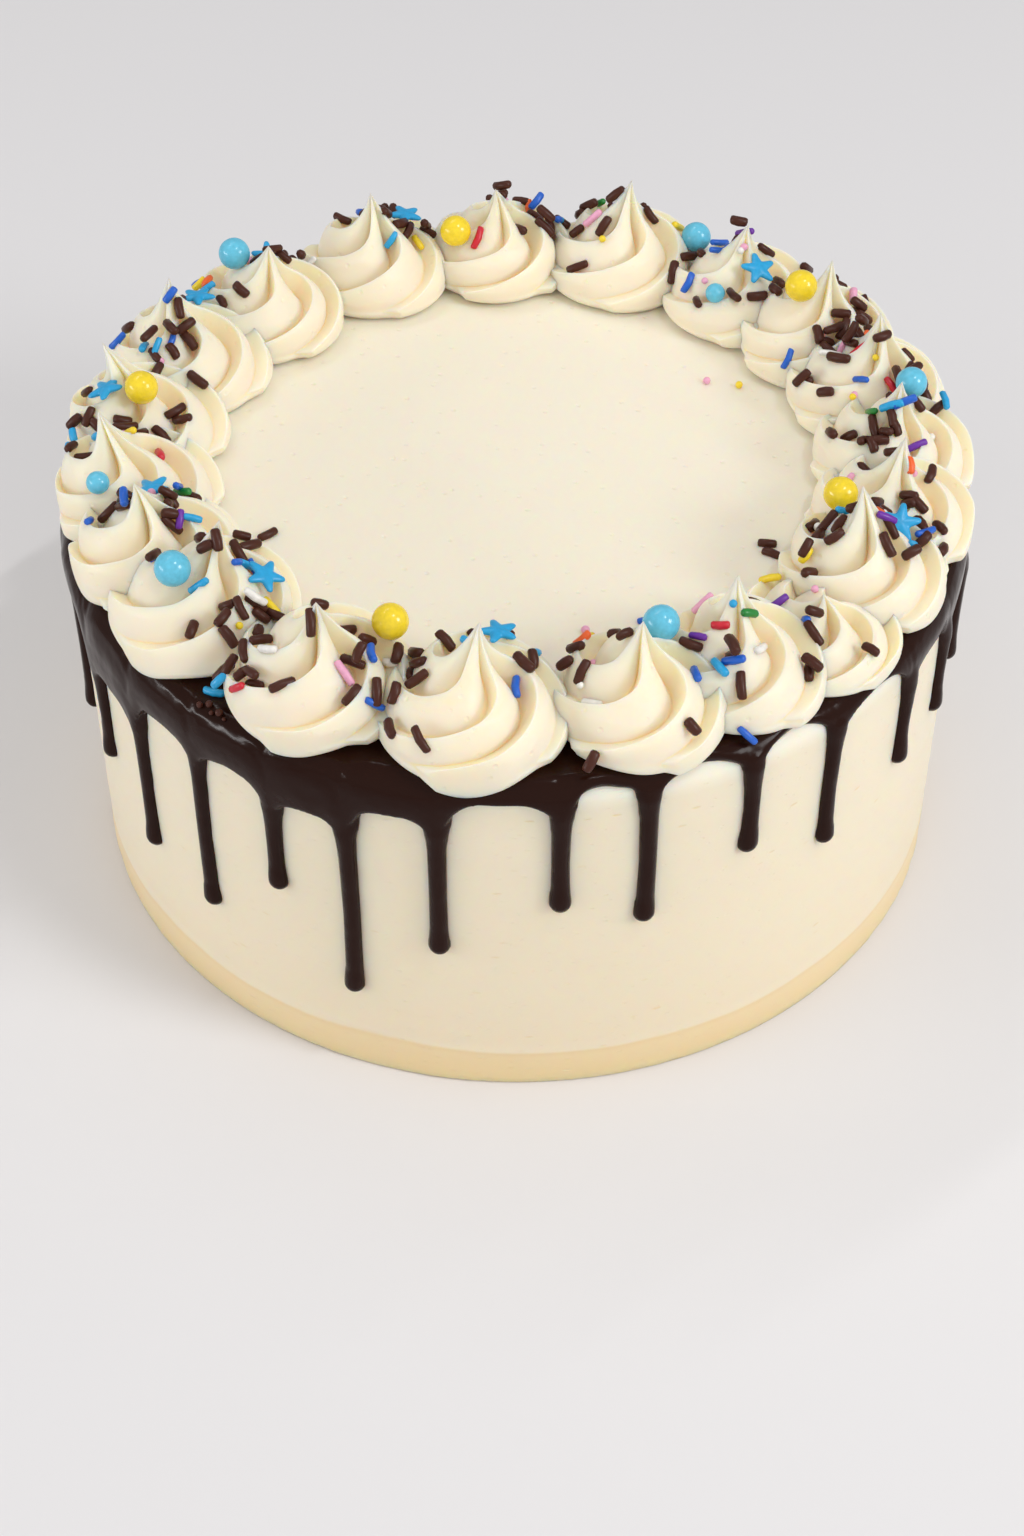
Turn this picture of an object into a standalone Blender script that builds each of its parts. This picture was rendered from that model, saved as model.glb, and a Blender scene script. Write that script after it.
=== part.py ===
# Drip cake: a cream-coated cylinder with a dark chocolate coat that runs down its side in
# drips, a ring of piped cream swirls on its top, sugar pearls and sprinkles.
# Metres, +Z up, origin at the centre of the foot, front of the cake towards -Y.

import math
import random

import bmesh
import bpy
from mathutils import Vector
from mathutils.bvhtree import BVHTree

MM = 0.001

# The cake: a 203 mm (8 inch) sponge under about 6 mm of cream, and its cream top
CAKE_RADIUS = 108.0 * MM
CAKE_HEIGHT = 99.5 * MM
FOOT_CHAMFER = 0.8 * MM
SHOULDER_RADIUS = 4.5 * MM
BODY_SEGMENTS = 64

# The chocolate coat lies in a shallow step round the top edge and hangs over the shoulder
COAT_THICKNESS = 1.6 * MM
COAT_ON_SHOULDER = 2.0 * MM
COAT_CHANGE = 0.8 * MM
THICKEST_COAT = math.radians(-85.0)
BEND_SHARES = (0.45, 0.85)
COAT_INNER_RADIUS = 85.0 * MM
COAT_LIP = 0.9 * MM
GAP = 0.3 * MM
COAT_CLEARANCE = 0.6 * MM
SHOULDER_CLEARANCE = 0.95 * MM

# Drips from the left over the front to the right: azimuth from the front in degrees,
# height of the tip, and height of the coat's edge between this drip and the next
FRONT_DRIPS = (
    (-65.0, 49.0, 80.0),
    (-53.2, 38.0, 86.5),
    (-41.4, 34.5, 86.0),
    (-30.1, 53.0, 82.5),
    (-20.5, 26.5, 88.0),
    (-9.4, 45.5, 94.0),
    (5.0, 60.5, 96.4),
    (15.1, 54.0, 96.8),
    (28.2, 67.0, 96.8),
    (40.6, 56.5, 95.0),
    (55.4, 62.0, 90.0),
    (67.0, 61.0, 88.0),
)
BACK_DRIPS = 16
BACK_TIP_HEIGHT = (30.0, 64.0)
BACK_EDGE_HEIGHT = (83.0, 94.0)
DRIP_DIP = 7.0 * MM
DRIP_WIDTH = 5.0 * MM
DRIP_DEPTH = 2.4 * MM
DRIP_SEED = 5
DRIP_JITTER = 0.16

# The coat's edge has a column of points at each drip and at these shares of the way to
# the next, and it dips towards a drip by this power of the distance from mid way
EDGE_STATIONS = (0.0, 0.2, 0.8)
EDGE_POWER = 4

# A drip from its tip to the coat: height above the tip or the lip in mm, share of the
# drip's width, and share of its depth
TIP_STATIONS = ((0.0, 0.35, 0.45), (0.9, 0.85, 0.9), (2.6, 1.08, 1.05))
LIP_STATIONS = ((-6.0, 0.92, 0.9), (0.0, 1.5, 1.0), (5.0, 1.9, 0.15))
HIGHEST_FLARE = 1.5 * MM
DRIP_POINTS_ACROSS = 4
DRIP_BACK = 0.15 * MM

# Piped swirls, anticlockwise from the front: azimuth in degrees, radius of the peak,
# height and base radius in mm
SWIRLS = (
    (-6.0, 89.0, 28.5, 20.8),
    (17.0, 88.0, 27.0, 19.6),
    (33.0, 85.0, 28.0, 18.6),
    (47.0, 94.0, 17.0, 19.4),
    (61.5, 88.5, 29.0, 19.0),
    (76.0, 90.5, 27.0, 19.4),
    (91.0, 90.0, 27.0, 19.4),
    (107.5, 94.0, 28.0, 19.4),
    (123.0, 93.5, 27.5, 19.0),
    (140.5, 91.0, 27.0, 19.2),
    (162.0, 93.0, 28.5, 19.8),
    (-177.0, 87.0, 27.0, 19.6),
    (-156.0, 92.0, 27.5, 19.6),
    (-134.0, 87.0, 27.0, 20.2),
    (-115.5, 97.5, 28.5, 19.8),
    (-98.5, 99.5, 28.0, 19.6),
    (-82.0, 98.5, 28.0, 20.0),
    (-66.5, 93.0, 27.0, 20.0),
    (-52.0, 84.0, 28.0, 21.0),
    (-28.5, 90.0, 28.5, 20.6),
)
RING_RADIUS = 90.5 * MM
LEAN_POWER = 1.3
SWIRL_LOBES = 5
SWIRL_TURN = (90.0, 130.0)
SWIRL_TURN_POWER = 2.2
RIM_TURN = math.radians(12.0)
RIM_SHARE = 0.03
SWIRL_SEED = 40
GROOVE_SHIFT = 0.1
LOBE_STRENGTH = (0.75, 1.2)

# Outline of a swirl from its foot to its tip: share of the base radius, share of the
# height, and depth of the lobes in mm there
SWIRL_OUTLINE = (
    (0.84, 0.00, 0.4),
    (1.00, 0.12, 1.8),
    (0.95, 0.26, 3.0),
    (0.79, 0.37, 4.4),
    (0.57, 0.45, 5.2),
    (0.36, 0.52, 5.6),
    (0.20, 0.62, 4.6),
    (0.09, 0.80, 1.8),
    (0.00, 1.00, 0.0),
)

# A lobe across its width: share of the width, share of its depth. It rises steeply to a
# crest and falls off in a broad face.
LOBE_CREST = 0.16
LOBE_RISE_POWER = 1.5
LOBE_FACE_POWER = 1.7
LOBE_STATIONS = (0.0, LOBE_CREST, 0.58)

# Sugar pearls: azimuth, radius from the axis in mm, diameter in mm, colour
PEARLS = (
    (-20.5, 79.0, 8.2, "yellow"),
    (22.5, 81.0, 8.2, "blue"),
    (69.0, 79.5, 8.0, "yellow"),
    (98.0, 96.0, 7.6, "blue"),
    (124.0, 85.5, 8.0, "yellow"),
    (139.0, 77.0, 5.0, "blue"),
    (151.5, 99.0, 7.8, "blue"),
    (-169.0, 84.0, 8.0, "yellow"),
    (-132.5, 98.0, 8.0, "blue"),
    (-94.5, 90.0, 8.0, "yellow"),
    (-75.5, 100.0, 5.4, "blue"),
    (-52.0, 96.5, 8.2, "blue"),
)
PEARL_SINK = 1.2 * MM

# Sprinkle heaps: azimuth, radius from the axis in mm, number of rods
HEAPS = (
    (-18.0, 86.0, 13),
    (-12.0, 104.0, 3),
    (-5.0, 76.0, 6),
    (8.0, 76.0, 6),
    (12.0, 95.0, 6),
    (27.0, 90.0, 10),
    (36.0, 92.0, 7),
    (46.0, 82.0, 7),
    (62.0, 84.0, 15),
    (68.0, 95.0, 14),
    (84.0, 88.0, 17),
    (98.0, 92.0, 15),
    (114.0, 91.0, 19),
    (121.0, 98.0, 12),
    (137.0, 90.0, 14),
    (152.0, 96.0, 10),
    (166.0, 96.0, 13),
    (179.0, 94.0, 18),
    (-160.0, 98.0, 15),
    (-142.0, 100.0, 10),
    (-126.0, 99.0, 11),
    (-110.0, 98.0, 14),
    (-90.0, 97.0, 14),
    (-72.0, 92.0, 17),
    (-57.0, 88.0, 9),
    (-44.0, 88.0, 19),
    (-34.0, 97.0, 12),
)
HEAP_SPREAD = 7.5 * MM
SPRINKLE_LENGTH = (4.2, 6.6)
SPRINKLE_RADIUS = 1.2 * MM
SPRINKLE_SIDES = 5
SPRINKLE_SEED = 900
SPRINKLE_SINK = 0.5
SPRINKLES_PER_SWIRL = 3
SPRINKLE_SPACING = 6.5 * MM
STEEPEST_SLOPE = 1.6
LOWEST_SPRINKLE = 4.0 * MM

# Sugar stars: azimuth, radius from the axis in mm, width in mm. One that would touch a
# pearl or the next swirl is moved round the ring by the smallest of these turns in degrees.
STARS = (
    (-142.3, 105.0, 7.4),
    (-125.5, 100.0, 7.8),
    (-97.5, 100.0, 8.0),
    (-73.5, 88.8, 8.0),
    (-46.8, 78.5, 7.8),
    (-3.0, 75.5, 7.6),
    (68.0, 94.6, 8.0),
    (137.0, 90.5, 7.8),
    (-162.0, 95.5, 7.6),
)
STAR_NUDGES = (0.0, 1.0, -1.0, 2.0, -2.0, 3.0, -3.0, 4.0, -4.0, 5.0, -5.0, 6.0, -6.0)
STAR_CORNERS = 10
STAR_THICKNESS = 2.0 * MM
STAR_WAIST = 0.46
STAR_CLEARANCE = 0.4 * MM

# How far from a swirl's foot a pearl can be and still dent it, and the rings and steps at
# which the swirls are felt for under a pearl
PEARL_REACH = 40.0 * MM
REST_RINGS = 5
REST_STEPS = 12
CUT_TOLERANCE = 0.02 * MM


def clear_scene():
    for scene_object in list(bpy.data.objects):
        bpy.data.objects.remove(scene_object, do_unlink=True)


def make_material(name, color, roughness):
    material = bpy.data.materials.new(name)
    material.use_nodes = True
    shader = material.node_tree.nodes["Principled BSDF"]
    shader.inputs["Base Color"].default_value = (*color, 1.0)
    shader.inputs["Roughness"].default_value = roughness
    shader.inputs["Metallic"].default_value = 0.0
    return material


def make_object(name, vertices, faces, material=None, location=(0.0, 0.0, 0.0), crease=None):
    mesh = bpy.data.meshes.new(name)
    mesh.from_pydata(vertices, [], faces)
    shape = bmesh.new()
    shape.from_mesh(mesh)
    bmesh.ops.recalc_face_normals(shape, faces=shape.faces[:])
    shape.to_mesh(mesh)
    shape.free()
    if material is not None:
        mesh.materials.append(material)
    if crease is not None:
        mesh.shade_smooth()
        mesh.set_sharp_from_angle(angle=math.radians(crease))
    created = bpy.data.objects.new(name, mesh)
    created.location = location
    bpy.context.scene.collection.objects.link(created)
    return created


def around(azimuth, radius, height):
    # Azimuth 0 is the front (-Y) and grows towards +X
    return Vector((radius * math.sin(azimuth), -radius * math.cos(azimuth), height))


def ring_faces(rows, columns):
    # Quads between rows of points that each run once round the axis
    faces = []
    for row in range(rows - 1):
        for column in range(columns):
            after = (column + 1) % columns
            faces.append((
                row * columns + column,
                row * columns + after,
                (row + 1) * columns + after,
                (row + 1) * columns + column,
            ))
    return faces


def bake_modifiers(target):
    depsgraph = bpy.context.evaluated_depsgraph_get()
    finished = bpy.data.meshes.new_from_object(target.evaluated_get(depsgraph))
    target.modifiers.clear()
    target.data = finished


def cut_with(target, cutter):
    modifier = target.modifiers.new("cut", "BOOLEAN")
    modifier.operation = "DIFFERENCE"
    modifier.solver = "EXACT"
    modifier.object = cutter
    bake_modifiers(target)
    bpy.data.objects.remove(cutter, do_unlink=True)
    keep_largest_shell(target)


def join_with(target, extras):
    # One union with a collection of small pieces, which are then removed
    group = bpy.data.collections.new(target.name + "_extras")
    bpy.context.scene.collection.children.link(group)
    for extra in extras:
        for holder in list(extra.users_collection):
            holder.objects.unlink(extra)
        group.objects.link(extra)
    modifier = target.modifiers.new("join", "BOOLEAN")
    modifier.operation = "UNION"
    modifier.solver = "EXACT"
    modifier.operand_type = "COLLECTION"
    modifier.collection = group
    bake_modifiers(target)
    for extra in list(group.objects):
        bpy.data.objects.remove(extra, do_unlink=True)
    bpy.data.collections.remove(group)
    keep_largest_shell(target)


def keep_largest_shell(target):
    # Drops loose scraps and fills hollows that a cut or a union left
    shape = bmesh.new()
    shape.from_mesh(target.data)
    unseen = set(shape.faces)
    shells = []
    while unseen:
        shell = [unseen.pop()]
        for face in shell:
            for edge in face.edges:
                for neighbour in edge.link_faces:
                    if neighbour in unseen:
                        unseen.remove(neighbour)
                        shell.append(neighbour)
        shells.append(shell)
    shells.sort(key=len)
    for shell in shells[:-1]:
        bmesh.ops.delete(shape, geom=shell, context="FACES")
    shape.to_mesh(target.data)
    shape.free()


def shoulder_point(azimuth, path, offset):
    # A point at a distance outside the cream, path metres along the step from its inner
    # edge: over the flat top, round the shoulder and down the wall
    top = CAKE_HEIGHT - COAT_THICKNESS
    flat = CAKE_RADIUS - SHOULDER_RADIUS - COAT_INNER_RADIUS
    bend = SHOULDER_RADIUS * math.pi / 2
    if path <= flat:
        return around(azimuth, COAT_INNER_RADIUS + path, top + offset)
    if path <= flat + bend:
        angle = (path - flat) / SHOULDER_RADIUS
        reach = SHOULDER_RADIUS + offset
        radius = CAKE_RADIUS - SHOULDER_RADIUS + reach * math.sin(angle)
        return around(azimuth, radius, top - SHOULDER_RADIUS + reach * math.cos(angle))
    drop = path - flat - bend
    return around(azimuth, CAKE_RADIUS + offset, top - SHOULDER_RADIUS - drop)


def path_to_height(height):
    # Length of the path at which the coat's edge has come down to a height
    top = CAKE_HEIGHT - COAT_THICKNESS
    flat = CAKE_RADIUS - SHOULDER_RADIUS - COAT_INNER_RADIUS
    above_wall = height - (top - SHOULDER_RADIUS)
    if above_wall > 0.0:
        return flat + SHOULDER_RADIUS * math.acos(min(1.0, above_wall / SHOULDER_RADIUS))
    return flat + SHOULDER_RADIUS * math.pi / 2 - above_wall


def make_body(material):
    step_radius = COAT_INNER_RADIUS - GAP
    top = CAKE_HEIGHT - COAT_THICKNESS
    corner = CAKE_RADIUS - SHOULDER_RADIUS
    slant = SHOULDER_RADIUS * math.sin(math.pi / 4)
    outline = (
        (CAKE_RADIUS - FOOT_CHAMFER, 0.0),
        (CAKE_RADIUS, FOOT_CHAMFER),
        (CAKE_RADIUS, top - SHOULDER_RADIUS),
        (corner + slant, top - SHOULDER_RADIUS + slant),
        (corner, top),
        (step_radius, top),
        (step_radius, CAKE_HEIGHT),
    )
    vertices = []
    for radius, height in outline:
        for segment in range(BODY_SEGMENTS):
            vertices.append(around(2 * math.pi * segment / BODY_SEGMENTS, radius, height))
    faces = ring_faces(len(outline), BODY_SEGMENTS)
    faces.append(tuple(reversed(range(BODY_SEGMENTS))))
    first_of_top = (len(outline) - 1) * BODY_SEGMENTS
    faces.append(tuple(first_of_top + segment for segment in range(BODY_SEGMENTS)))
    return make_object("cake_body", vertices, faces, material, crease=30.0)


def list_drips():
    # Azimuth in radians, height of the tip and of the coat's edge after it in metres
    draw = random.Random(DRIP_SEED)
    drips = [(math.radians(turn), tip * MM, edge * MM) for turn, tip, edge in FRONT_DRIPS]
    first = FRONT_DRIPS[-1][0]
    step = (360.0 + FRONT_DRIPS[0][0] - first) / (BACK_DRIPS + 1)
    for number in range(BACK_DRIPS):
        turn = first + step * (number + 1 + draw.uniform(-DRIP_JITTER, DRIP_JITTER))
        tip = draw.uniform(*BACK_TIP_HEIGHT)
        edge = draw.uniform(*BACK_EDGE_HEIGHT)
        drips.append((math.radians(turn), tip * MM, edge * MM))
    return drips


def coat_depth(azimuth):
    # The coat is thicker on the left of the cake
    return COAT_ON_SHOULDER + COAT_CHANGE * math.cos(azimuth - THICKEST_COAT)


def make_coat_ring(drips, material):
    # The coat's edge hangs in arches between the drips
    flat = CAKE_RADIUS - SHOULDER_RADIUS - COAT_INNER_RADIUS
    bend = SHOULDER_RADIUS * math.pi / 2
    columns = []
    for number, (azimuth, _, edge) in enumerate(drips):
        after = drips[(number + 1) % len(drips)]
        width = (after[0] - azimuth) % (2 * math.pi)
        low_here = min(edge, drips[number - 1][2]) - DRIP_DIP
        low_after = min(edge, after[2]) - DRIP_DIP
        for share in EDGE_STATIONS:
            near = abs(2 * share - 1) ** EDGE_POWER
            low = low_here if share < 0.5 else low_after
            columns.append((azimuth + width * share, edge + (low - edge) * near))
    rows = 2 * (len(BEND_SHARES) + 3)
    vertices = [None] * (rows * len(columns))
    for column, (azimuth, edge) in enumerate(columns):
        end = path_to_height(edge)
        if end > flat + bend:
            stations = (0.0, flat, flat + bend / 2, flat + bend, end)
        else:
            bends = [flat + (end - flat) * share for share in BEND_SHARES]
            stations = (0.0, flat, *bends, end)
        depth = coat_depth(azimuth)
        outer = (COAT_THICKNESS, COAT_THICKNESS, (COAT_THICKNESS + depth) / 2, depth, COAT_LIP)
        section = [shoulder_point(azimuth, s, d) for s, d in zip(stations, outer)]
        inner = (COAT_CLEARANCE, COAT_CLEARANCE, SHOULDER_CLEARANCE, COAT_CLEARANCE, COAT_CLEARANCE)
        section += [shoulder_point(azimuth, s, d) for s, d in zip(stations[::-1], inner[::-1])]
        for row, point in enumerate(section):
            vertices[row * len(columns) + column] = point
    faces = ring_faces(rows, len(columns))
    for column in range(len(columns)):
        after = (column + 1) % len(columns)
        last = (rows - 1) * len(columns)
        faces.append((last + column, last + after, after, column))
    return make_object("chocolate_coat", vertices, faces, material)


def make_drip(number, azimuth, tip, edge):
    # Half-round strands with a rounded, slightly wider tip, and a flare under the coat
    lip = edge - DRIP_DIP * 0.5
    highest = CAKE_HEIGHT - COAT_THICKNESS - SHOULDER_RADIUS + HIGHEST_FLARE
    stations = [(tip + above * MM, wide, thick) for above, wide, thick in TIP_STATIONS]
    stations += [(lip + above * MM, wide, thick) for above, wide, thick in LIP_STATIONS]
    back = COAT_CLEARANCE + DRIP_BACK
    vertices = []
    for height, width_share, depth_share in stations:
        half = DRIP_WIDTH * width_share / 2
        path = path_to_height(min(height, highest))
        for point in range(DRIP_POINTS_ACROSS):
            angle = math.pi * point / (DRIP_POINTS_ACROSS - 1)
            side = -half * math.cos(angle) / CAKE_RADIUS
            out = back + DRIP_DEPTH * depth_share * math.sin(angle)
            vertices.append(shoulder_point(azimuth + side, path, out))
    faces = ring_faces(len(stations), DRIP_POINTS_ACROSS)
    faces.append(tuple(reversed(range(DRIP_POINTS_ACROSS))))
    last = (len(stations) - 1) * DRIP_POINTS_ACROSS
    faces.append(tuple(last + point for point in range(DRIP_POINTS_ACROSS)))
    return make_object("drip_%d" % number, vertices, faces)


def make_coat(material):
    drips = list_drips()
    coat = make_coat_ring(drips, material)
    strands = []
    for number, (azimuth, tip, edge) in enumerate(drips):
        strands.append(make_drip(number, azimuth, tip, min(edge, drips[number - 1][2])))
    join_with(coat, strands)
    coat.data.shade_smooth()
    coat.data.set_sharp_from_angle(angle=math.radians(50.0))
    return coat


def lobe_depth(share):
    # Height of a lobe across its width, from 0 at the groove to 1 at the crest
    if share < LOBE_CREST:
        return (share / LOBE_CREST) ** LOBE_RISE_POWER
    return 1.0 - ((share - LOBE_CREST) / (1.0 - LOBE_CREST)) ** LOBE_FACE_POWER


def outline_normal(row, radius, height):
    # Outward direction of the swirl's outline at a row, in its radius and height
    below = SWIRL_OUTLINE[max(row - 1, 0)]
    above = SWIRL_OUTLINE[min(row + 1, len(SWIRL_OUTLINE) - 1)]
    run = (above[0] - below[0]) * radius
    rise = (above[1] - below[1]) * height
    length = math.hypot(run, rise)
    return rise / length, -run / length


def make_swirl(number, material):
    azimuth, peak_radius, height, radius = SWIRLS[number]
    azimuth = math.radians(azimuth)
    height *= MM
    radius *= MM
    lean = peak_radius * MM - RING_RADIUS
    draw = random.Random(SWIRL_SEED + number)
    start = draw.uniform(0.0, 2 * math.pi)
    lobes = []
    for _ in range(SWIRL_LOBES):
        lobes.append((draw.uniform(-GROOVE_SHIFT, GROOVE_SHIFT), draw.uniform(*LOBE_STRENGTH)))
    turn = math.radians(draw.uniform(*SWIRL_TURN))
    outward = around(azimuth, 1.0, 0.0)
    columns = SWIRL_LOBES * len(LOBE_STATIONS)
    rows = len(SWIRL_OUTLINE) - 1
    vertices = []
    for row, (reach, rise, depth) in enumerate(SWIRL_OUTLINE[:rows]):
        if row == 0:
            out, up, wound = 1.0, 0.0, 0.0
        else:
            out, up = outline_normal(row, radius, height)
            wound = turn * (1.0 - reach ** SWIRL_TURN_POWER)
            wound += RIM_TURN * (1.0 - math.exp((reach - 1.0) / RIM_SHARE))
        shift = outward * lean * rise ** LEAN_POWER
        for lobe, (shifted, strength) in enumerate(lobes):
            for share in LOBE_STATIONS:
                place = lobe + share + (shifted if share == 0.0 else 0.0)
                angle = start + wound + 2 * math.pi * place / SWIRL_LOBES
                push = depth * MM * strength * (lobe_depth(share) - 0.5)
                away = reach * radius + push * out
                point = Vector((away * math.cos(angle), away * math.sin(angle), rise * height + push * up))
                vertices.append(point + shift)
    faces = ring_faces(rows, columns)
    faces.append(tuple(reversed(range(columns))))
    tip = len(vertices)
    vertices.append(Vector((0.0, 0.0, height)) + outward * lean)
    last = (rows - 1) * columns
    for column in range(columns):
        faces.append((tip, last + column, last + (column + 1) % columns))
    foot = around(azimuth, RING_RADIUS, CAKE_HEIGHT + GAP)
    return make_object("swirl_%02d" % (number + 1), vertices, faces, material, foot, crease=40.0)


def wedge_sides(number):
    # Upright planes through the axis that part a swirl from the next ones: their normals
    # point out of the swirl's own wedge
    here = SWIRLS[number][0]
    before = here - ((here - SWIRLS[number - 1][0]) % 360.0) / 2
    after = here + ((SWIRLS[(number + 1) % len(SWIRLS)][0] - here) % 360.0) / 2
    return (
        around(math.radians(before) - math.pi / 2, 1.0, 0.0),
        around(math.radians(after) + math.pi / 2, 1.0, 0.0),
    )


def trim_to_wedge(swirl, number):
    shape = bmesh.new()
    shape.from_mesh(swirl.data)
    for normal in wedge_sides(number):
        plane_point = -normal * GAP / 2 - swirl.location
        cut = bmesh.ops.bisect_plane(
            shape,
            geom=shape.verts[:] + shape.edges[:] + shape.faces[:],
            dist=CUT_TOLERANCE,
            plane_co=plane_point,
            plane_no=normal,
            clear_outer=True,
        )
        rim = [item for item in cut["geom_cut"] if isinstance(item, bmesh.types.BMEdge)]
        bmesh.ops.edgeloop_fill(shape, edges=[edge for edge in rim if edge.is_boundary])
    bmesh.ops.triangulate(shape, faces=shape.faces[:], ngon_method="EAR_CLIP")
    bmesh.ops.recalc_face_normals(shape, faces=shape.faces[:])
    shape.to_mesh(swirl.data)
    shape.free()
    keep_largest_shell(swirl)


def surface_of(swirl):
    shape = bmesh.new()
    shape.from_mesh(swirl.data)
    shape.transform(swirl.matrix_world)
    tree = BVHTree.FromBMesh(shape)
    shape.free()
    return tree


def height_at(tree, x, y):
    hit = tree.ray_cast(Vector((x, y, 1.0)), Vector((0.0, 0.0, -1.0)))[0]
    return None if hit is None else hit.z


def rest_height(trees, x, y, radius):
    # Height of the centre of a ball that rests at a place on the swirls
    best = CAKE_HEIGHT + radius
    for ring in range(REST_RINGS):
        away = radius * ring / REST_RINGS
        for step in range(REST_STEPS):
            angle = 2 * math.pi * step / REST_STEPS
            for tree in trees:
                below = height_at(tree, x + away * math.cos(angle), y + away * math.sin(angle))
                if below is not None:
                    best = max(best, below + math.sqrt(radius ** 2 - away ** 2))
    return best


def make_pearl(number, trees, swirls, material):
    azimuth, away, size, _ = PEARLS[number]
    radius = size * MM / 2
    place = around(math.radians(azimuth), away * MM, 0.0)
    place.z = rest_height(trees, place.x, place.y, radius) - PEARL_SINK
    for swirl in swirls:
        if (swirl.matrix_world.translation - place).length < PEARL_REACH:
            bpy.ops.mesh.primitive_ico_sphere_add(subdivisions=2, radius=radius + GAP, location=place)
            cut_with(swirl, bpy.context.object)
    bpy.ops.mesh.primitive_ico_sphere_add(subdivisions=2, radius=radius, location=place)
    pearl = bpy.context.object
    pearl.name = "pearl_%02d" % (number + 1)
    pearl.data.name = pearl.name
    pearl.data.materials.append(material)
    pearl.data.shade_smooth()
    return pearl


def clear_of(point, reach, number, pearls):
    for normal in wedge_sides(number):
        if point.dot(normal) > -reach:
            return False
    for pearl in pearls:
        if (pearl.location - point).length < pearl.dimensions.x / 2 + reach:
            return False
    return True


def make_rod(place, heading, length, tree, number, pearls):
    # A rod that lies on the swirl, a little sunk in. Returns nothing where it would not fit.
    half = Vector((math.cos(heading), math.sin(heading), 0.0)) * length / 2
    ends = [place - half, place + half]
    heights = [height_at(tree, point.x, point.y) for point in (*ends, place)]
    if None in heights or min(heights) < CAKE_HEIGHT + LOWEST_SPRINKLE:
        return None
    if abs(heights[0] - heights[1]) > STEEPEST_SLOPE * length:
        return None
    middle = place.copy()
    middle.z = max(heights[2], (heights[0] + heights[1]) / 2) + SPRINKLE_SINK * SPRINKLE_RADIUS
    if not clear_of(middle, length / 2 + SPRINKLE_RADIUS, number, pearls):
        return None
    direction = (half * 2 + Vector((0.0, 0.0, heights[1] - heights[0]))).normalized()
    bpy.ops.mesh.primitive_cylinder_add(
        vertices=SPRINKLE_SIDES,
        radius=SPRINKLE_RADIUS,
        depth=length,
        location=middle,
        rotation=direction.to_track_quat("Z", "Y").to_euler(),
    )
    return bpy.context.object


def make_star(azimuth, away, width, trees, pearls):
    # Returns the number of the swirl that the star lies on, and the star
    for nudge in STAR_NUDGES:
        place = around(math.radians(azimuth + nudge), away * MM, 1.0)
        for number, tree in enumerate(trees):
            point, normal = tree.ray_cast(place, Vector((0.0, 0.0, -1.0)))[:2]
            if point is None or point.z < CAKE_HEIGHT + LOWEST_SPRINKLE:
                continue
            lying = (normal + Vector((0.0, 0.0, 1.0))).normalized()
            if not clear_of(point, width * MM / 2 + STAR_CLEARANCE, number, pearls):
                continue
            bpy.ops.mesh.primitive_cylinder_add(
                vertices=STAR_CORNERS,
                radius=width * MM / 2,
                depth=STAR_THICKNESS,
                location=point,
                rotation=lying.to_track_quat("Z", "Y").to_euler(),
            )
            star = bpy.context.object
            for vertex in star.data.vertices:
                turn = math.atan2(vertex.co.x, vertex.co.y) / (2 * math.pi)
                corner = round(turn * STAR_CORNERS)
                if corner % 2:
                    vertex.co.x *= STAR_WAIST
                    vertex.co.y *= STAR_WAIST
            return number, star
    return None


def add_rod(rods, place, heading, length, trees, pearls):
    # Gives the rod to the first swirl below it that has room left
    for number, tree in enumerate(trees):
        if len(rods[number]) >= SPRINKLES_PER_SWIRL:
            continue
        if any((other.location - place).to_2d().length < SPRINKLE_SPACING for other in rods[number]):
            continue
        rod = make_rod(place, heading, length, tree, number, pearls)
        if rod is not None:
            rods[number].append(rod)
            return


def add_sprinkles(swirls, pearls):
    # The stars first, and then the rods, heap by heap
    trees = [surface_of(swirl) for swirl in swirls]
    extras = [[] for _ in swirls]
    for azimuth, away, width in STARS:
        found = make_star(azimuth, away, width, trees, pearls)
        if found is not None:
            extras[found[0]].append(found[1])
    for heap, (azimuth, away, count) in enumerate(HEAPS):
        draw = random.Random(SPRINKLE_SEED + heap)
        centre = around(math.radians(azimuth), away * MM, 0.0)
        for _ in range(count):
            shift = Vector((draw.gauss(0.0, 1.0), draw.gauss(0.0, 1.0), 0.0))
            heading = draw.uniform(0.0, math.pi)
            length = draw.uniform(*SPRINKLE_LENGTH) * MM
            add_rod(extras, centre + shift * HEAP_SPREAD, heading, length, trees, pearls)
    for swirl, pieces in zip(swirls, extras):
        if pieces:
            join_with(swirl, pieces)


def build():
    clear_scene()
    cream = make_material("cream", (0.87, 0.79, 0.61), 0.5)
    chocolate = make_material("chocolate", (0.035, 0.014, 0.01), 0.25)
    yellow = make_material("pearl_yellow", (0.85, 0.62, 0.03), 0.25)
    blue = make_material("pearl_blue", (0.1, 0.48, 0.68), 0.25)
    make_body(cream)
    make_coat(chocolate)
    swirls = [make_swirl(number, cream) for number in range(len(SWIRLS))]
    for number, swirl in enumerate(swirls):
        trim_to_wedge(swirl, number)
    bpy.context.view_layer.update()
    trees = [surface_of(swirl) for swirl in swirls]
    pearls = []
    for number in range(len(PEARLS)):
        color = yellow if PEARLS[number][3] == "yellow" else blue
        pearls.append(make_pearl(number, trees, swirls, color))
    bpy.context.view_layer.update()
    add_sprinkles(swirls, pearls)


build()
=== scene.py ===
import math
import random

import bmesh
import bpy
import numpy as np
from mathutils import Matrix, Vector, noise
from mathutils.bvhtree import BVHTree


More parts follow.
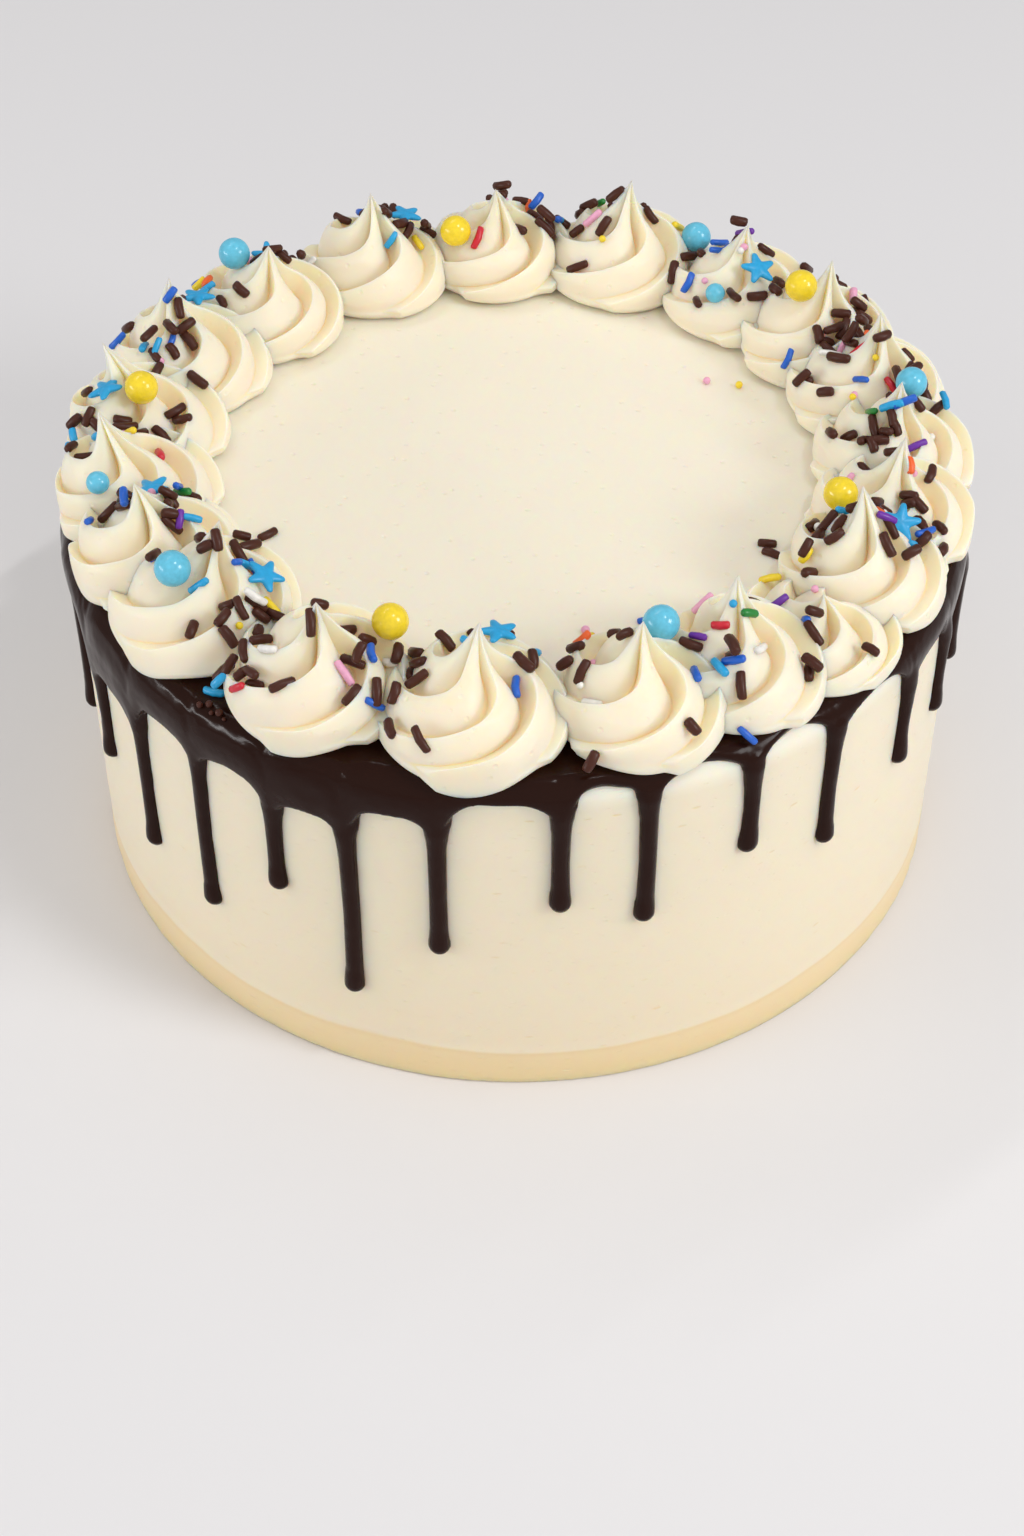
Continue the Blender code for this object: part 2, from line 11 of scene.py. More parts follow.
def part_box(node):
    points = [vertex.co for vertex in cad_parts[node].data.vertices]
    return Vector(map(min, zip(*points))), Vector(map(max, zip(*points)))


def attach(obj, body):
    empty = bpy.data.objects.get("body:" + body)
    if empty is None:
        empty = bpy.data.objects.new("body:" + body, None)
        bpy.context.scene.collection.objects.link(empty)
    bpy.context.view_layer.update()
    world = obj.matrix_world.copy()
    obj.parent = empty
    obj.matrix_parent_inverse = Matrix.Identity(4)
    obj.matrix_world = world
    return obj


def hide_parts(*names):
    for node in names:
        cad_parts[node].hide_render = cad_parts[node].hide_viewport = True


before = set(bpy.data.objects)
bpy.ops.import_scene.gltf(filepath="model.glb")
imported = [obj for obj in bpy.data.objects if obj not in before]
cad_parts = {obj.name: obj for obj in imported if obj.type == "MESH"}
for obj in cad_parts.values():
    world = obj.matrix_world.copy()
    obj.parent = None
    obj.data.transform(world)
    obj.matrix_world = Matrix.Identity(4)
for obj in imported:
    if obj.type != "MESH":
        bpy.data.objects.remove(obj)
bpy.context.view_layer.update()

mm = 0.001
bpy.ops.object.select_all(action="DESELECT")


# Camera and picture

cameraValues = {
    "place": (-0.0013, -0.4918, 0.4758),
    "tilt": 45.97,
    "lens": 59.53,
    "sensor": 36.0,
}


def placeCamera():
    bpy.ops.object.camera_add(
        location=cameraValues["place"],
        rotation=(math.radians(cameraValues["tilt"]), 0.0, 0.0),
    )
    camera = bpy.context.object
    camera.name = "photoCamera"
    camera.data.lens = cameraValues["lens"]
    camera.data.sensor_width = cameraValues["sensor"]
    camera.data.clip_start = 0.01
    camera.data.dof.use_dof = False
    bpy.context.scene.camera = camera
    bpy.context.scene.view_settings.view_transform = "Standard"
    bpy.context.scene.view_settings.look = "None"


# Materials

def newMaterial(name, baseColor, roughness, specular=0.5):
    material = bpy.data.materials.new(name)
    material.use_nodes = True
    shader = material.node_tree.nodes["Principled BSDF"]
    shader.inputs["Base Color"].default_value = (*baseColor, 1.0)
    shader.inputs["Roughness"].default_value = roughness
    shader.inputs["Specular IOR Level"].default_value = specular
    return material, material.node_tree, shader


def objectPlace(tree):
    return tree.nodes.new("ShaderNodeTexCoord").outputs["Object"]


def addStretch(tree, place, scale):
    mapping = tree.nodes.new("ShaderNodeMapping")
    mapping.inputs["Scale"].default_value = scale
    tree.links.new(place, mapping.inputs["Vector"])
    return mapping.outputs["Vector"]


def addNoise(tree, place, scale, detail):
    texture = tree.nodes.new("ShaderNodeTexNoise")
    texture.inputs["Scale"].default_value = scale
    texture.inputs["Detail"].default_value = detail
    tree.links.new(place, texture.inputs["Vector"])
    return texture.outputs["Fac"]


def addCells(tree, place, scale):
    cells = tree.nodes.new("ShaderNodeTexVoronoi")
    cells.inputs["Scale"].default_value = scale
    tree.links.new(place, cells.inputs["Vector"])
    return cells.outputs["Distance"]


def addMath(tree, operation, *parts):
    # Each part is a number or what another node gives
    node = tree.nodes.new("ShaderNodeMath")
    node.operation = operation
    for number, part in enumerate(parts):
        if isinstance(part, float):
            node.inputs[number].default_value = part
        else:
            tree.links.new(part, node.inputs[number])
    return node.outputs["Value"]


def addRange(tree, value, low, high, toLow, toHigh):
    node = tree.nodes.new("ShaderNodeMapRange")
    node.inputs["From Min"].default_value = low
    node.inputs["From Max"].default_value = high
    node.inputs["To Min"].default_value = toLow
    node.inputs["To Max"].default_value = toHigh
    tree.links.new(value, node.inputs["Value"])
    return node.outputs["Result"]


def addRamp(tree, factor, stops):
    ramp = tree.nodes.new("ShaderNodeValToRGB")
    elements = ramp.color_ramp.elements
    while len(elements) < len(stops):
        elements.new(0.5)
    for element, (position, color) in zip(elements, stops):
        element.position = position
        element.color = (*color, 1.0)
    tree.links.new(factor, ramp.inputs["Fac"])
    return ramp.outputs["Color"]


def addBump(tree, shader, height, strength, distance):
    bump = tree.nodes.new("ShaderNodeBump")
    bump.inputs["Strength"].default_value = strength
    bump.inputs["Distance"].default_value = distance
    tree.links.new(height, bump.inputs["Height"])
    tree.links.new(bump.outputs["Normal"], shader.inputs["Normal"])


creamValues = {
    # Groove stop: painted warm glow of scattered light in the crevices; crest stop: the cream's own
    # colour
    "paintedGrooveGlowAndCrest": (
        (0.3, (0.94, 0.795, 0.48)),
        (0.7, (0.86, 0.78, 0.635)),
    ),
    "bodyRamp": (  # height in the cake's own height, and color
        # The warmer stops near the foot paint warm bounce light from below
        (0.0, (0.81, 0.61, 0.33)),
        (0.11, (0.82, 0.66, 0.405)),
        (0.126, (0.8, 0.63, 0.375)),
        (0.134, (0.838, 0.742, 0.567)),
        (0.17, (0.828, 0.726, 0.543)),
        (0.35, (0.832, 0.74, 0.562)),
        (0.93, (0.84, 0.755, 0.592)),
        (0.97, (0.9, 0.83, 0.69)),
    ),
    "seamWaves": 22.0,
    "seamWander": 3.5 * mm,
    "mark": (0.8, 0.66, 0.42),
    "markCells": 105.0,
    "markCore": (0.07, 0.14),
    "markPatches": 34.0,
    "markSpread": (0.47, 0.6),
    "markShare": 0.75,
    "markBelowTop": 10.0 * mm,
    "roughness": 0.44,
    "specular": 0.42,
    "softness": 0.85,
    "softReach": (1.0, 0.62, 0.3),
    "softDepth": 6.5 * mm,
    "toneWaves": 28.0,
    "toneShare": 0.25,
    "creases": (0.46, 0.53, -0.1, 0.9),
    "pitSize": 4.2 * mm,
    "pitCore": (0.05, 0.16),
    "grainWaves": 420.0,
    "grainShare": 0.25,
    "reliefStrength": 0.5,
    "reliefDepth": 0.35 * mm,
}


def heightColor(tree, place):
    # Warmer below the seam near the foot, which paints warm bounce light from below, and paler on the
    # top; the seam wanders a little
    split = tree.nodes.new("ShaderNodeSeparateXYZ")
    tree.links.new(place, split.inputs["Vector"])
    waves = addNoise(tree, place, creamValues["seamWaves"], 4.0)
    wandered = addMath(tree, "MULTIPLY_ADD", waves, creamValues["seamWander"], split.outputs["Z"])
    scaled = addMath(tree, "DIVIDE", wandered, cake["height"])
    return addRamp(tree, scaled, creamValues["bodyRamp"])


def markAmount(tree, place, stretched):
    # Short scrape marks, a few here and there on the wall
    cells = addCells(tree, stretched, creamValues["markCells"])
    core = addRange(tree, cells, *creamValues["markCore"], 1.0, 0.0)
    patches = addNoise(tree, place, creamValues["markPatches"], 1.0)
    where = addRange(tree, patches, *creamValues["markSpread"], 0.0, creamValues["markShare"])
    split = tree.nodes.new("ShaderNodeSeparateXYZ")
    tree.links.new(place, split.inputs["Vector"])
    limit = cake["height"] - creamValues["markBelowTop"]
    below = addMath(tree, "LESS_THAN", split.outputs["Z"], limit)
    return addMath(tree, "MULTIPLY", core, addMath(tree, "MULTIPLY", below, where))


def paintedGlowShare(tree, tone):
    # Low in the grooves, where a warmer, lighter colour paints the glow of light scattered in the cream,
    # and high on the crests
    shape = tree.nodes.new("ShaderNodeNewGeometry")
    share = addRange(tree, shape.outputs["Pointiness"], *creamValues["creases"])
    return addMath(tree, "MULTIPLY_ADD", tone, creamValues["toneShare"], share)


def makeCream(name, stretch):
    crestColor = creamValues["paintedGrooveGlowAndCrest"][1][1]
    material, tree, shader = newMaterial(
        name, crestColor, creamValues["roughness"], creamValues["specular"]
    )
    shader.inputs["Subsurface Weight"].default_value = creamValues["softness"]
    shader.inputs["Subsurface Radius"].default_value = creamValues["softReach"]
    shader.inputs["Subsurface Scale"].default_value = creamValues["softDepth"]
    place = objectPlace(tree)
    stretched = addStretch(tree, place, stretch)
    # Tiny air holes: only the cores of the cells are lower
    holes = addCells(tree, stretched, 1.0 / creamValues["pitSize"])
    low = addRange(tree, holes, *creamValues["pitCore"], -1.0, 0.0)
    if name == "wallCream":
        amount = markAmount(tree, place, stretched)
        mix = tree.nodes.new("ShaderNodeMix")
        mix.data_type = "RGBA"
        mix.inputs["B"].default_value = (*creamValues["mark"], 1.0)
        tree.links.new(amount, mix.inputs["Factor"])
        tree.links.new(heightColor(tree, place), mix.inputs["A"])
        tree.links.new(mix.outputs["Result"], shader.inputs["Base Color"])
        low = addMath(tree, "SUBTRACT", low, amount)
    else:
        tone = addNoise(tree, stretched, creamValues["toneWaves"], 2.0)
        # The grooves get a warmer, lighter colour: painted glow of scattered light
        color = addRamp(tree, paintedGlowShare(tree, tone), creamValues["paintedGrooveGlowAndCrest"])
        tree.links.new(color, shader.inputs["Base Color"])
    grain = addNoise(tree, stretched, creamValues["grainWaves"], 4.0)
    relief = addMath(tree, "MULTIPLY_ADD", grain, creamValues["grainShare"], low)
    addBump(tree, shader, relief, creamValues["reliefStrength"], creamValues["reliefDepth"])
    return material


glazeValues = {
    "color": (0.0185, 0.0056, 0.0032),
    "roughness": (0.1, 0.22),
    "specular": 0.1,
    "waves": 75.0,
    "reliefStrength": 0.75,
    "reliefDepth": 1.0 * mm,
}


def makeGlaze():
    low, high = glazeValues["roughness"]
    material, tree, shader = newMaterial(
        "darkGlaze", glazeValues["color"], low, glazeValues["specular"]
    )
    waves = addNoise(tree, objectPlace(tree), glazeValues["waves"], 2.5)
    tree.links.new(addRange(tree, waves, 0.0, 1.0, low, high), shader.inputs["Roughness"])
    addBump(tree, shader, waves, glazeValues["reliefStrength"], glazeValues["reliefDepth"])
    return material


sugarValues = {
    "waves": 900.0,
    "darker": 0.86,
    "reliefStrength": 0.2,
    "reliefDepth": 0.1 * mm,
    "rodRoughness": 0.34,
    "rodSpecular": 0.5,
    "chocolateSpecular": 0.22,
    "pearlRoughness": 0.2,
    "pearlYellow": (0.93, 0.69, 0.025),
    "pearlBlue": (0.13, 0.55, 0.76),
}


def makeSugar(name, color, roughness, specular):
    material, tree, shader = newMaterial(name, color, roughness, specular)
    speckle = addNoise(tree, objectPlace(tree), sugarValues["waves"], 2.0)
    darker = tuple(part * sugarValues["darker"] for part in color)
    speckled = addRamp(tree, speckle, ((0.3, darker), (0.7, color)))
    tree.links.new(speckled, shader.inputs["Base Color"])
    addBump(tree, shader, speckle, sugarValues["reliefStrength"], sugarValues["reliefDepth"])
    return material


# Shared shapes and measures

cake = {
    "radius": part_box("cake_body")[1].x,
    "height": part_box("cake_body")[1].z,
    "shoulder": 4.5 * mm,
    "coat": 1.6 * mm,
}


def around(azimuth, radius, height):
    # Azimuth 0 is the front of the cake and grows towards its right
    return Vector((radius * math.sin(azimuth), -radius * math.cos(azimuth), height))


def readPoints(piece):
    flat = np.empty(len(piece.data.vertices) * 3, np.float32)
    piece.data.vertices.foreach_get("co", flat)
    return flat.reshape(-1, 3).astype(float)


def writePoints(piece, points):
    piece.data.vertices.foreach_set("co", points.astype(np.float32).ravel())
    piece.data.update()


def finishPiece(piece, name, material, nodes=()):
    piece.name = name
    piece.data.name = name
    piece.data.materials.clear()
    piece.data.materials.append(material)
    piece.data.shade_smooth()
    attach(piece, "root")
    if nodes:
        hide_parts(*nodes)
    piece.select_set(False)
    return piece


def smoothNoise(points, scale, seed):
    # Smooth noise from -1 to 1 at each point
    shift = Vector((seed * 3.7, seed * 1.9, seed * 5.3))
    return np.array([noise.noise(Vector(point) / scale + shift) for point in points])


def shoulderDrop(radius):
    # How far the surface under the swirls has fallen at a distance from the axis
    start = cake["radius"] - cake["shoulder"]
    over = np.clip((radius - start) / (cake["shoulder"] + cake["coat"]), 0.0, 0.98)
    return (cake["shoulder"] + cake["coat"]) * (1.0 - np.sqrt(1.0 - over ** 2))


# Piped swirls

swirlPlaces = (  # azimuth in degrees, peak radius, height and base radius in mm
    (-6.0, 89.0, 28.5, 20.8),
    (17.0, 88.0, 27.0, 19.6),
    (33.0, 85.0, 28.0, 18.6),
    (47.0, 94.0, 17.0, 19.4),
    (61.5, 88.5, 29.0, 19.0),
    (76.0, 90.5, 27.0, 19.4),
    (91.0, 90.0, 27.0, 19.4),
    (107.5, 94.0, 28.0, 19.4),
    (123.0, 93.5, 27.5, 19.0),
    (140.5, 91.0, 27.0, 19.2),
    (162.0, 93.0, 28.5, 19.8),
    (-177.0, 87.0, 27.0, 19.6),
    (-156.0, 92.0, 27.5, 19.6),
    (-134.0, 87.0, 27.0, 20.2),
    (-115.5, 97.5, 28.5, 19.8),
    (-98.5, 99.5, 28.0, 19.6),
    (-82.0, 98.5, 28.0, 20.0),
    (-66.5, 93.0, 27.0, 20.0),
    (-52.0, 84.0, 28.0, 21.0),
    (-28.5, 90.0, 28.5, 20.6),
)
swirlValues = {
    "ringRadius": 90.5 * mm,
    "lobes": 5,
    "turn": (90.0, 130.0),
    "turnPower": 2.2,
    "rimTurn": math.radians(12.0),
    "rimShare": 0.03,
    "seed": 40,
    "columns": 168,
    "rings": 90,
    "footShare": 0.06,
    "crest": 0.16,
    "facePower": 1.7,
    "crestColumns": 0.36,
    "gather": 1.3,
    "sink": 0.6 * mm,
    "unevenness": 0.45 * mm,
    "ripples": 0.16 * mm,
    "tipCurl": 2.2 * mm,
    "softEdge": 108.4 * mm,
    "hardEdge": 110.3 * mm,
}
swirlOutline = (  # share of base radius, share of height, lobe depth in mm
    (0.84, 0.00, 0.4),
    (1.00, 0.12, 1.4),
    (0.95, 0.26, 2.9),
    (0.79, 0.37, 4.4),
    (0.57, 0.45, 5.2),
    (0.36, 0.52, 5.6),
    (0.20, 0.62, 4.6),
    (0.09, 0.80, 1.8),
    (0.00, 1.00, 0.0),
)


def smoothOutline(samples=400):
    # Catmull-Rom curve through the outline, then spaced by its length
    knots = np.array(swirlOutline)
    padded = np.vstack([2 * knots[0] - knots[1], knots, 2 * knots[-1] - knots[-2]])
    places = np.linspace(0, len(knots) - 1, samples)
    curve = []
    for place in places:
        index = min(int(place), len(knots) - 2)
        t = place - index
        a, b, c, d = padded[index:index + 4]
        curve.append(0.5 * (2 * b + (c - a) * t + (2 * a - 5 * b + 4 * c - d) * t ** 2
                            + (3 * b - a - 3 * c + d) * t ** 3))
    curve = np.array(curve)
    curve[:, 0] = np.maximum(curve[:, 0], 0.0)
    steps = np.hypot(np.diff(curve[:, 0]) * 20.0, np.diff(curve[:, 1]) * 28.0)
    length = np.concatenate([[0.0], np.cumsum(steps)])
    return curve, length / length[-1], int(np.argmax(curve[:, 0]))


def lobeDepth(share):
    crest = swirlValues["crest"]
    rise = (np.minimum(share, crest) / crest) ** 1.5
    face = 1.0 - (np.maximum(share - crest, 0.0) / (1.0 - crest)) ** swirlValues["facePower"]
    return np.where(share < crest, rise, face)


def gatherColumns(share):
    # More of a lobe's columns lie near its crest, so that the edge stays crisp
    crest = swirlValues["crest"]
    middle = swirlValues["crestColumns"]
    power = swirlValues["gather"]
    low = np.minimum(share / middle, 1.0)
    high = np.maximum((share - middle) / (1.0 - middle), 0.0)
    beforeCrest = crest * (1.0 - (1.0 - low) ** power)
    afterCrest = crest + (1.0 - crest) * high ** power
    return np.where(share < middle, beforeCrest, afterCrest)


def pipeSwirl(number, cream):
    azimuth, peakRadius, height, radius = swirlPlaces[number]
    azimuth = math.radians(azimuth)
    height *= mm
    radius *= mm
    lean = peakRadius * mm - swirlValues["ringRadius"]
    draw = random.Random(swirlValues["seed"] + number)
    start = draw.uniform(0.0, 2 * math.pi)
    lobes = [(draw.uniform(-0.1, 0.1), draw.uniform(0.75, 1.2)) for _ in range(swirlValues["lobes"])]
    turn = math.radians(draw.uniform(*swirlValues["turn"]))
    bpy.ops.mesh.primitive_uv_sphere_add(
        segments=swirlValues["columns"], ring_count=swirlValues["rings"], radius=1.0
    )
    piece = bpy.context.object
    ball = readPoints(piece)
    rise = np.arccos(np.clip(-ball[:, 2], -1.0, 1.0)) / math.pi
    angle = np.arctan2(ball[:, 1], ball[:, 0])
    curve, lengths, widest = smoothOutline()
    foot = swirlValues["footShare"]
    along = np.clip((rise - foot) / (1.0 - foot), 0.0, 1.0)
    reach = np.interp(along, lengths, curve[:, 0])
    high = np.interp(along, lengths, curve[:, 1])
    depth = np.interp(along, lengths, curve[:, 2]) * mm
    slopeR = np.interp(along, lengths, np.gradient(curve[:, 0]) * radius)
    slopeZ = np.interp(along, lengths, np.gradient(curve[:, 1]) * height)
    steep = np.hypot(slopeR, slopeZ) + 1e-9
    out, up = slopeZ / steep, -slopeR / steep
    inFoot = rise < foot
    out[inFoot], up[inFoot] = 1.0, 0.0
    # The lobes wind up as the bag turns, most of all near the rim
    wound = turn * (1.0 - reach ** swirlValues["turnPower"])
    wound += swirlValues["rimTurn"] * (1.0 - np.exp((reach - 1.0) / swirlValues["rimShare"]))
    wound[along < lengths[widest]] = 0.0
    columnShare = (angle % (2 * math.pi)) / (2 * math.pi) * swirlValues["lobes"]
    lobe = np.minimum(columnShare.astype(int), swirlValues["lobes"] - 1)
    share = gatherColumns(columnShare - lobe)
    strength = np.array([item[1] for item in lobes])
    shifted = np.array([item[0] for item in lobes])
    after = (lobe + 1) % swirlValues["lobes"]
    bend = shifted[lobe] * (1.0 - share) + shifted[after] * share
    power = strength[lobe] * (1.0 - share ** 6) + strength[after] * share ** 6
    turned = start + wound + (lobe + share + bend) * 2 * math.pi / swirlValues["lobes"]
    push = depth * power * (lobeDepth(share) - 0.5)
    uneven = smoothNoise(ball, 0.55, number + 1) * swirlValues["unevenness"]
    uneven += smoothNoise(ball, 0.2, number + 50) * swirlValues["ripples"]
    uneven *= np.clip(reach * 1.6, 0, 1)
    footFade = np.where(inFoot, rise / foot, 1.0)
    away = np.maximum((reach * radius + push * out + uneven * out) * footFade, 0.0)
    x = away * np.cos(turned)
    y = away * np.sin(turned)
    z = high * height + np.where(inFoot, 0.0, push * up + uneven * up)
    outward = around(azimuth, 1.0, 0.0)
    centre = around(azimuth, swirlValues["ringRadius"], 0.0)
    leaned = lean * np.clip(high, 0.0, 1.0) ** 1.3
    curlWay = draw.uniform(0.0, 2 * math.pi)
    curl = swirlValues["tipCurl"] * draw.uniform(0.3, 1.0) * np.clip((high - 0.6) / 0.4, 0.0, 1.0) ** 2
    x += centre.x + outward.x * leaned + math.cos(curlWay) * curl
    y += centre.y + outward.y * leaned + math.sin(curlWay) * curl
    # Rims that reach over the edge of the cake end softly at the same distance
    radial = np.hypot(x, y)
    over = np.maximum(radial - swirlValues["softEdge"], 0.0)
    room = swirlValues["hardEdge"] - swirlValues["softEdge"]
    held = radial - over + room * (1.0 - np.exp(-over / room))
    x *= held / radial
    y *= held / radial
    sag = shoulderDrop(held) * np.clip(1.0 - high / 0.2, 0.0, 1.0) ** 1.5
    z += cake["height"] - swirlValues["sink"] - sag
    writePoints(piece, np.stack([x, y, z], 1))
    return finishPiece(piece, "pipedSwirl%02d" % (number + 1), cream,
                       ["swirl_%02d" % (number + 1)])


# Cream body

bodyValues = {
    "steps": 360,
    "wallRows": 64,
    "topRows": 30,
    "streakDepth": 0.16 * mm,
    "wave": 0.35 * mm,
    "seamHeight": 13.0 * mm,
    "seamDepth": 0.35 * mm,
    "seamWidth": 0.9 * mm,
    "crumbs": 0.5 * mm,
    "mostPush": 0.25 * mm,
    "plateauWaves": 0.08 * mm,
    "coatInside": 85.0 * mm,
}


def turnBody(cream):
    # The half outline is drawn as a line of points and spun round the axis
    radius, height, shoulder = cake["radius"], cake["height"], cake["shoulder"]
    top = height - cake["coat"]
    outline = [(0.0, 0.0), (radius * 0.5, 0.0), (radius - 0.9 * mm, 0.0), (radius - 0.25 * mm, 0.25 * mm)]
    for row in range(bodyValues["wallRows"] + 1):
        outline.append((radius, 0.9 * mm + (top - shoulder - 0.9 * mm) * row / bodyValues["wallRows"]))
    for step in range(1, 8):
        bend = math.pi / 2 * step / 8
        outside = radius - shoulder + shoulder * math.cos(bend)
        outline.append((outside, top - shoulder + shoulder * math.sin(bend)))
    inner = bodyValues["coatInside"]
    outline += [(radius - shoulder, top), (inner + 0.3 * mm, top), (inner, height - 0.3 * mm)]
    for row in range(bodyValues["topRows"]):
        outline.append(((inner - 0.5 * mm) * (1.0 - row / bodyValues["topRows"]), height))
    outline.append((0.0, height))
    mesh = bpy.data.meshes.new("creamCake")
    mesh.from_pydata(
        [(r, 0.0, z) for r, z in outline], [(n, n + 1) for n in range(len(outline) - 1)], []
    )
    piece = bpy.data.objects.new("creamCake", mesh)
    bpy.context.scene.collection.objects.link(piece)
    bpy.context.view_layer.objects.active = piece
    piece.select_set(True)
    bpy.ops.object.mode_set(mode="EDIT")
    bpy.ops.mesh.select_all(action="SELECT")
    bpy.ops.mesh.spin(
        steps=bodyValues["steps"], angle=2 * math.pi, center=(0, 0, 0), axis=(0, 0, 1)
    )
    bpy.ops.mesh.remove_doubles(threshold=0.00001)
    bpy.ops.mesh.normals_make_consistent(inside=False)
    bpy.ops.object.mode_set(mode="OBJECT")
    points = readPoints(piece)
    radial = np.hypot(points[:, 0], points[:, 1])
    wall = (points[:, 2] > 0.5 * mm) & (points[:, 2] < top - shoulder) & (radial > radius * 0.98)
    where = points[wall]
    streaks = smoothNoise(where * (0.25, 0.25, 2.2), 9.0 * mm, 1)
    waves = smoothNoise(where * (1.0, 1.0, 0.5), 38.0 * mm, 2)
    seamPlace = bodyValues["seamHeight"] + 0.8 * mm * smoothNoise(where * (1, 1, 0), 30.0 * mm, 3)
    seam = np.exp(-((where[:, 2] - seamPlace) / bodyValues["seamWidth"]) ** 2)
    broken = np.clip(smoothNoise(where * (1, 1, 0), 22.0 * mm, 4) * 2.5 + 0.6, 0.0, 1.0)
    crumbs = smoothNoise(where, 3.0 * mm, 5) * np.exp(-where[:, 2] / (2.0 * mm)) * bodyValues["crumbs"]
    push = (streaks * bodyValues["streakDepth"] + waves * bodyValues["wave"] * 0.5
            - seam * broken * bodyValues["seamDepth"] + crumbs)
    push = np.minimum(push, bodyValues["mostPush"])
    points[wall, 0] *= 1.0 + push / radius
    points[wall, 1] *= 1.0 + push / radius
    plateau = (points[:, 2] > height - 0.1 * mm) & (radial < 84.0 * mm)
    points[plateau, 2] += smoothNoise(points[plateau], 26.0 * mm, 6) * bodyValues["plateauWaves"]
    writePoints(piece, points)
    return finishPiece(piece, "creamCake", cream, ["cake_body"])


# Chocolate coat

frontDrips = (  # azimuth in degrees, height of the tip and of the edge after it in mm
    (-65.0, 49.0, 80.0),
    (-53.2, 38.0, 86.5),
    (-41.4, 34.5, 86.0),
    (-30.1, 53.0, 82.5),
    (-20.5, 26.5, 88.0),
    (-9.4, 45.5, 94.0),
    (5.0, 60.5, 96.4),
    (15.1, 54.0, 96.8),
    (28.2, 67.0, 96.8),
    (40.6, 56.5, 95.0),
    (55.4, 62.0, 90.0),
    (67.0, 61.0, 88.0),
)
coatValues = {
    "backDrips": 16,
    "backTip": (30.0, 64.0),
    "backEdge": (83.0, 94.0),
    "seed": 5,
    "dip": 7.0 * mm,
    "dripWidth": 5.0 * mm,
    "dripDepth": 2.4 * mm,
    "dripWander": 0.6 * mm,
    "dripSides": 16,
    "bulb": 2.9 * mm,
    "start": 91.0 * mm,
    "inside": -1.2 * mm,
    "lip": 0.2 * mm,
    "wobble": 0.5 * mm,
    "archSteps": 14,
    "sectionSteps": 8,
    "roll": 0.5 * mm,
    "rollPlace": 1.6 * mm,
    "rollWidth": 1.8 * mm,
    "voxel": 0.68 * mm,
}


def listDrips():
    draw = random.Random(coatValues["seed"])
    drips = [(math.radians(turn), tip * mm, edge * mm) for turn, tip, edge in frontDrips]
    first = frontDrips[-1][0]
    step = (360.0 + frontDrips[0][0] - first) / (coatValues["backDrips"] + 1)
    for number in range(coatValues["backDrips"]):
        turn = first + step * (number + 1 + draw.uniform(-0.16, 0.16))
        tip = draw.uniform(*coatValues["backTip"])
        edge = draw.uniform(*coatValues["backEdge"])
        drips.append((math.radians(turn), tip * mm, edge * mm))
    return drips


def coatDepth(azimuth):
    return (2.0 + 0.8 * math.cos(azimuth + math.radians(85.0))) * mm


def shoulderPoint(azimuth, path, offset):
    top = cake["height"] - cake["coat"]
    flat = cake["radius"] - cake["shoulder"] - coatValues["start"]
    bend = cake["shoulder"] * math.pi / 2
    if path <= flat:
        return around(azimuth, coatValues["start"] + path, top + offset)
    if path <= flat + bend:
        angle = (path - flat) / cake["shoulder"]
        reach = cake["shoulder"] + offset
        radius = cake["radius"] - cake["shoulder"] + reach * math.sin(angle)
        return around(azimuth, radius, top - cake["shoulder"] + reach * math.cos(angle))
    return around(azimuth, cake["radius"] + offset, top - cake["shoulder"] - (path - flat - bend))


def pathToHeight(height):
    top = cake["height"] - cake["coat"]
    flat = cake["radius"] - cake["shoulder"] - coatValues["start"]
    aboveWall = height - (top - cake["shoulder"])
    if aboveWall > 0.0:
        return flat + cake["shoulder"] * math.acos(min(1.0, aboveWall / cake["shoulder"]))
    return flat + cake["shoulder"] * math.pi / 2 - aboveWall


def gridFaces(rows, columns):
    faces = []
    for row in range(rows - 1):
        for column in range(columns):
            after = (column + 1) % columns
            faces.append((row * columns + column, row * columns + after,
                          (row + 1) * columns + after, (row + 1) * columns + column))
    return faces


def addSolid(name, points, faces):
    mesh = bpy.data.meshes.new(name)
    mesh.from_pydata(points, [], faces)
    piece = bpy.data.objects.new(name, mesh)
    bpy.context.scene.collection.objects.link(piece)
    bpy.context.view_layer.objects.active = piece
    piece.select_set(True)
    bpy.ops.object.mode_set(mode="EDIT")
    bpy.ops.mesh.select_all(action="SELECT")
    bpy.ops.mesh.normals_make_consistent(inside=False)
    bpy.ops.object.mode_set(mode="OBJECT")
    piece.select_set(False)
    return piece


